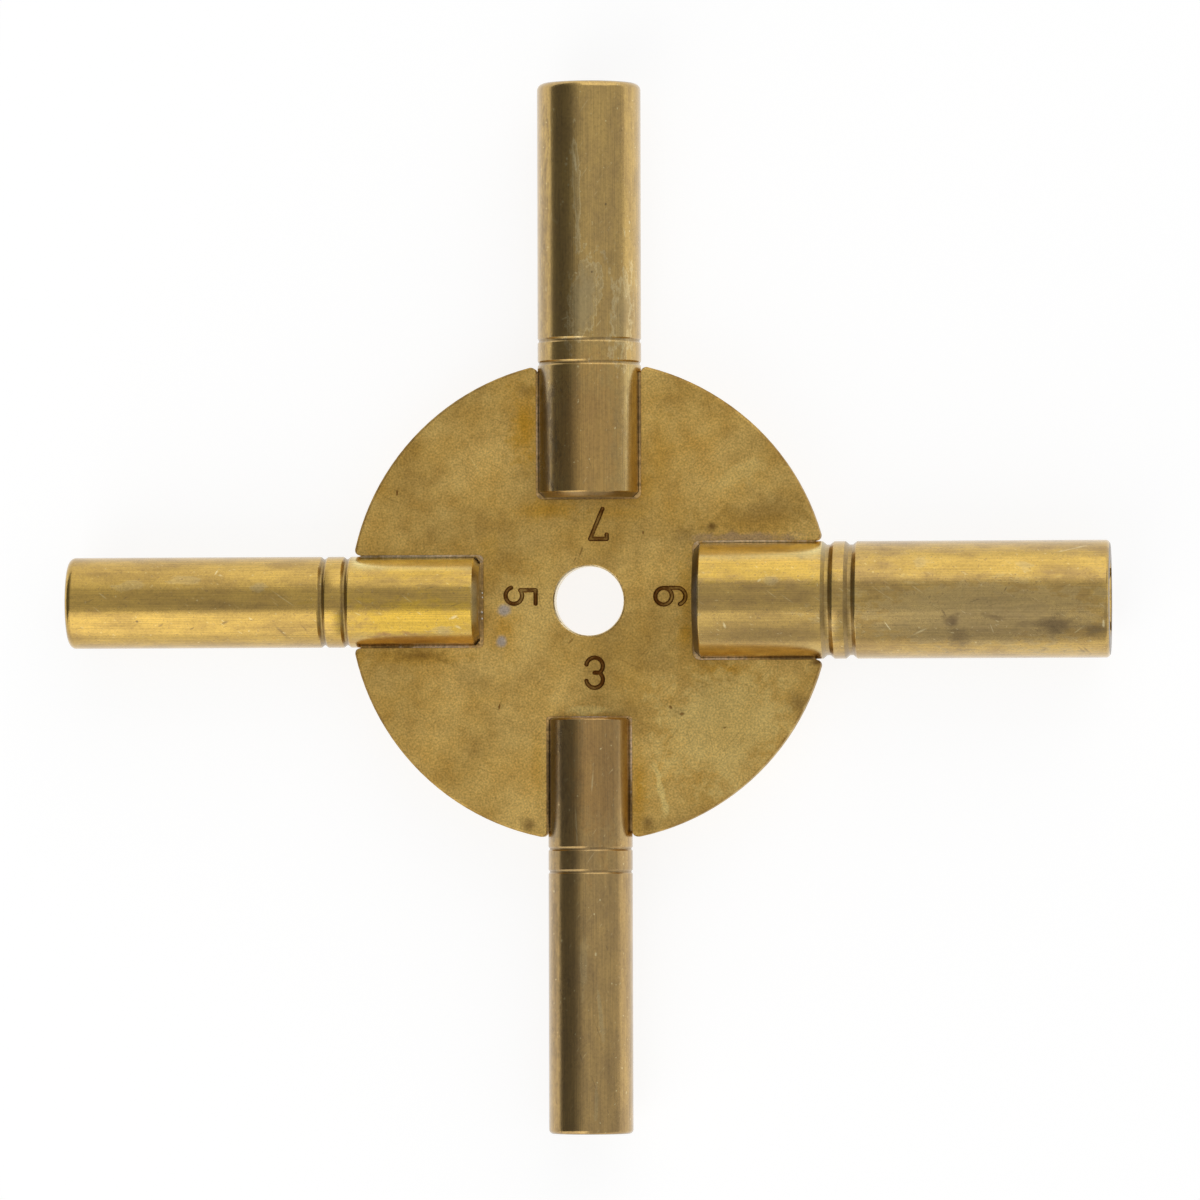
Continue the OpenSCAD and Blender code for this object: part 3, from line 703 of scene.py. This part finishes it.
    # A pale painted highlight and a grey painted shade on the flanks in the slot, stronger on the side that
    # the sign gives.
    for flank_tone, shade in (("flank_light", ROD_FLANK_LIGHT), ("flank_shade", ROD_FLANK_SHADE)):
        side = math.copysign(SEAM_SPREAD, wear_and_light[flank_tone])
        share = abs(wear_and_light[flank_tone])
        covers = add(tree, "ShaderNodeMapRange", {
            "Value": point.outputs["Y"], "From Min": -side, "From Max": side,
            "To Min": FAR_SIDE * share, "To Max": share})
        covers = add(tree, "ShaderNodeMath", {0: beside.outputs[0], 1: covers.outputs[0]},
                     operation="MULTIPLY")
        stains_and_light.append((covers.outputs[0], shade))
    from_axis = add(tree, "ShaderNodeVectorMath", {0: along, 1: (0, 1, 1)}, operation="MULTIPLY")
    from_axis = add(tree, "ShaderNodeVectorMath", {0: from_axis.outputs[0]}, operation="LENGTH")
    sunk = add(tree, "ShaderNodeMapRange", {
        "Value": from_axis.outputs["Value"], "From Min": radius - GRIME_DEPTH[0],
        "From Max": radius - GRIME_DEPTH[1]}, interpolation_type="SMOOTHSTEP")
    at_foot = add(tree, "ShaderNodeMapRange", {
        "Value": point.outputs["X"], "From Min": foot + FOOT_DIRT[0], "From Max": foot + FOOT_DIRT[1],
        "To Min": wear_and_light["foot_dirt"], "To Max": wear_and_light["ring_dirt"]})
    at_mouth = add(tree, "ShaderNodeMapRange", {
        "Value": point.outputs["X"], "From Min": mouth - MOUTH_CLEAN[0],
        "From Max": mouth - MOUTH_CLEAN[1], "To Min": at_foot.outputs[0], "To Max": 0.0})
    grime_and_shade = add(tree, "ShaderNodeMath", {0: sunk.outputs[0], 1: at_mouth.outputs[0]}, operation="MULTIPLY")
    # Painted shade on the wall of each ring nearer the foot.
    for middle in rings:
        on_wall = add(tree, "ShaderNodeMath", {
            0: point.outputs["X"], 1: middle - (half_ring + half_floor) / 2,
            2: (half_ring - half_floor) / 2}, operation="COMPARE")
        shaded = add(tree, "ShaderNodeMath", {0: on_wall.outputs[0], 1: wear_and_light["ring_shade"]},
                     operation="MULTIPLY")
        grime_and_shade = add(tree, "ShaderNodeMath", {0: grime_and_shade.outputs[0], 1: shaded.outputs[0]},
                    operation="MAXIMUM")
    # The end face is darkened.
    at_end = add(tree, "ShaderNodeMapRange", {
        "Value": point.outputs["X"], "From Min": mouth - END_FACE[0], "From Max": mouth - END_FACE[1],
        "To Max": END_DARKENING})
    grime_and_shade = add(tree, "ShaderNodeMath", {0: grime_and_shade.outputs[0], 1: at_end.outputs[0]}, operation="MAXIMUM")
    # Dirt in the recesses, with the painted shade on the ring walls and the darkened end face.
    stains_and_light.append((grime_and_shade.outputs[0], ROD_GRIME_AND_SHADE))
    colour = layered(tree, wear_and_light["clean"], stains_and_light)

    relief = add(tree, "ShaderNodeMath", {0: lines.outputs[0], 1: speckle.outputs[0]}, operation="ADD")
    toned = add(tree, "ShaderNodeMapRange", {
        "Value": relief.outputs[0], "From Min": 0.7, "From Max": 1.3, "To Min": 0.79, "To Max": 1.17})
    colour = add(tree, "ShaderNodeVectorMath", {0: colour, "Scale": toned.outputs[0]}, operation="SCALE")
    gloss = add(tree, "ShaderNodeMapRange", {
        "Value": patch.outputs[0], "From Min": 0.3, "From Max": 0.7, "To Min": 0.2, "To Max": 0.27})
    gloss = add(tree, "ShaderNodeMath", {0: film, 1: FILM_ROUGH, 2: gloss.outputs[0]},
                operation="MULTIPLY_ADD")
    gloss = add(tree, "ShaderNodeMath", {0: grime_and_shade.outputs[0], 1: GRIME_ROUGH, 2: gloss.outputs[0]},
                operation="MULTIPLY_ADD")
    waviness = add(tree, "ShaderNodeBump", {
        "Height": wave.outputs[0], "Strength": 1.0, "Distance": WAVE_DEPTH})
    bump = add(tree, "ShaderNodeBump", {
        "Height": relief.outputs[0], "Strength": 0.3, "Distance": DRAW_DEPTH,
        "Normal": waviness.outputs[0]})
    brass = add(tree, "ShaderNodeBsdfPrincipled", {
        "Base Color": colour.outputs[0], "Metallic": 1.0, "Roughness": gloss.outputs[0],
        "Normal": bump.outputs[0], "Coat Weight": CLEAR_FILM, "Coat Roughness": CLEAR_ROUGH})
    add(tree, "ShaderNodeOutputMaterial", {"Surface": brass.outputs[0]})
    barrel.data.materials.append(rod_brass)

# Soft solder was run in round the foot and sides of each barrel, and fills its slot almost to the
# faces of the disc. A few small beads of it stayed in the gap at the 5's foot, given by their place
# and radius in millimetres.
SOLDER_FACE = 0.985 * MM
NEAR_FACE = 0.99
SEAM_SMOOTH = math.radians(40)
BEADS = {"5": [(-7.76, -0.8, 0.085), (-7.75, -1.25, 0.07), (-7.74, 0.6, 0.06), (-7.72, 0.27, 0.055)]}
BEAD_STEPS = 3
BEAD_SHAPE = (0.9, 1.1, 0.7)
BEAD_ROUGH = 0.006 * MM
BEAD_SEED = 3
solder, tree = new_material("soft_solder")
for size in BARRELS:
    seam = copy_solid("seam_" + size, "solder_seam_" + size, "VERT")
    bpy.ops.mesh.select_all(action="DESELECT")
    bpy.ops.object.mode_set(mode="OBJECT")
    top = max(corner.co.z for corner in seam.data.vertices)
    for corner in seam.data.vertices:
        corner.select = abs(corner.co.z) > NEAR_FACE * top
    bpy.ops.object.mode_set(mode="EDIT")
    bpy.ops.transform.resize(value=(1, 1, SOLDER_FACE / top), center_override=(0, 0, 0))
    bpy.ops.mesh.select_all(action="DESELECT")
    bpy.ops.object.mode_set(mode="OBJECT")
    for x, y, bead in BEADS.get(size, []):
        bpy.ops.object.select_all(action="DESELECT")
        bpy.ops.mesh.primitive_ico_sphere_add(
            subdivisions=BEAD_STEPS, radius=bead * MM, location=(x * MM, y * MM, SOLDER_FACE))
        bpy.ops.object.mode_set(mode="EDIT")
        bpy.ops.mesh.select_all(action="SELECT")
        bpy.ops.transform.resize(value=BEAD_SHAPE)
        bpy.ops.transform.vertex_random(offset=BEAD_ROUGH, seed=BEAD_SEED)
        bpy.ops.object.mode_set(mode="OBJECT")
        seam.select_set(True)
        bpy.context.view_layer.objects.active = seam
        bpy.ops.object.join()
    bpy.ops.object.select_all(action="DESELECT")
    seam.select_set(True)
    bpy.ops.object.transform_apply(location=True, rotation=True, scale=True)
    bpy.ops.object.shade_smooth_by_angle(angle=SEAM_SMOOTH)
    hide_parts("solder_seam_" + size)
    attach(seam, "root")
    seam.data.materials.clear()
    seam.data.materials.append(solder)

# Soft solder, gone dull: dark brown flux and dirt in the narrow seams, pinkish grey and grainy where
# more of it shows, with bright beads.
SOLDER_BROWN = "#D2AA68"
SOLDER_DARK = "#5A431F"
SOLDER_GREY = "#EED6B6"
SOLDER_BRIGHT = "#F2EDE2"
SOLDER_FRAY = 0.5 * MM
SOLDER_GRAIN = 0.2 * MM
SOLDER_GRAIN_DEPTH = 0.05 * MM
BEAD_LEVEL = 0.99 * MM
SEAM_DIRT = [
    (-15.2, 3.3, 1.6, 0.1, 0, 0.7), (-11.2, 3.3, 1.4, 0.08, 0, 0.6), (-7.75, 0.0, 0.3, 4.6, 0, 0.45),
    (-14.0, -3.3, 3.0, 0.15, 0, 0.7), (-10.4, -3.3, 0.8, 0.1, 0, 0.6),
    (-2.95, -13.0, 0.25, 5.0, 0, 0.8), (2.95, -14.5, 0.25, 3.0, 0, 0.7), (3.7, 13.0, 0.2, 5.0, 0, 0.6),
    (7.5, 0.0, 0.4, 5.0, 0, 0.6), (14.6, -4.2, 2.6, 0.4, 0, 0.6), (0.0, 7.4, 4.4, 0.3, 0, 0.5)]
BARE_SOLDER = [
    (11.5, 4.3, 5.2, 0.8, 0, 0.95), (9.4, -4.3, 2.2, 0.6, 0, 0.7), (-10.5, -3.4, 3.2, 0.6, 0, 0.8),
    (-12.0, 3.3, 5.5, 0.6, 0, 0.95),
    (3.15, -11.0, 0.5, 3.0, 0, 0.6), (0.0, -8.4, 1.6, 0.4, 0, 0.9), (-3.9, 12.0, 0.5, 4.0, 0, 0.3)]
place = add(tree, "ShaderNodeTexCoord", {}).outputs["Object"]
fray = add(tree, "ShaderNodeTexNoise", {
    "Vector": place, "Scale": 1 / SOLDER_FRAY, "Detail": 4.0, "Roughness": 0.6})
grains = add(tree, "ShaderNodeTexNoise", {"Vector": place, "Scale": 1 / SOLDER_GRAIN, "Detail": 3.0})
ragged = add(tree, "ShaderNodeMapRange", {
    "Value": fray.outputs[0], "From Min": 0.3, "From Max": 0.7,
    "To Min": 0.5, "To Max": 1.5}).outputs[0]
level = add(tree, "ShaderNodeSeparateXYZ", {0: place})
beaded = add(tree, "ShaderNodeMath", {0: level.outputs["Z"], 1: BEAD_LEVEL}, operation="GREATER_THAN")
colour = layered(tree, SOLDER_BROWN, [
    (marks(tree, place, ragged, SEAM_DIRT), SOLDER_DARK),
    (marks(tree, place, ragged, BARE_SOLDER), SOLDER_GREY),
    (beaded.outputs[0], SOLDER_BRIGHT),
])
mealy = add(tree, "ShaderNodeMapRange", {
    "Value": grains.outputs[0], "From Min": 0.3, "From Max": 0.7, "To Min": 0.6, "To Max": 1.3})
colour = add(tree, "ShaderNodeVectorMath", {0: colour, "Scale": mealy.outputs[0]}, operation="SCALE")
bump = add(tree, "ShaderNodeBump", {
    "Height": grains.outputs[0], "Strength": 0.5, "Distance": SOLDER_GRAIN_DEPTH})
metal = add(tree, "ShaderNodeBsdfPrincipled", {
    "Base Color": colour.outputs[0], "Metallic": 0.3, "Roughness": 0.55, "Normal": bump.outputs[0]})
add(tree, "ShaderNodeOutputMaterial", {"Surface": metal.outputs[0]})
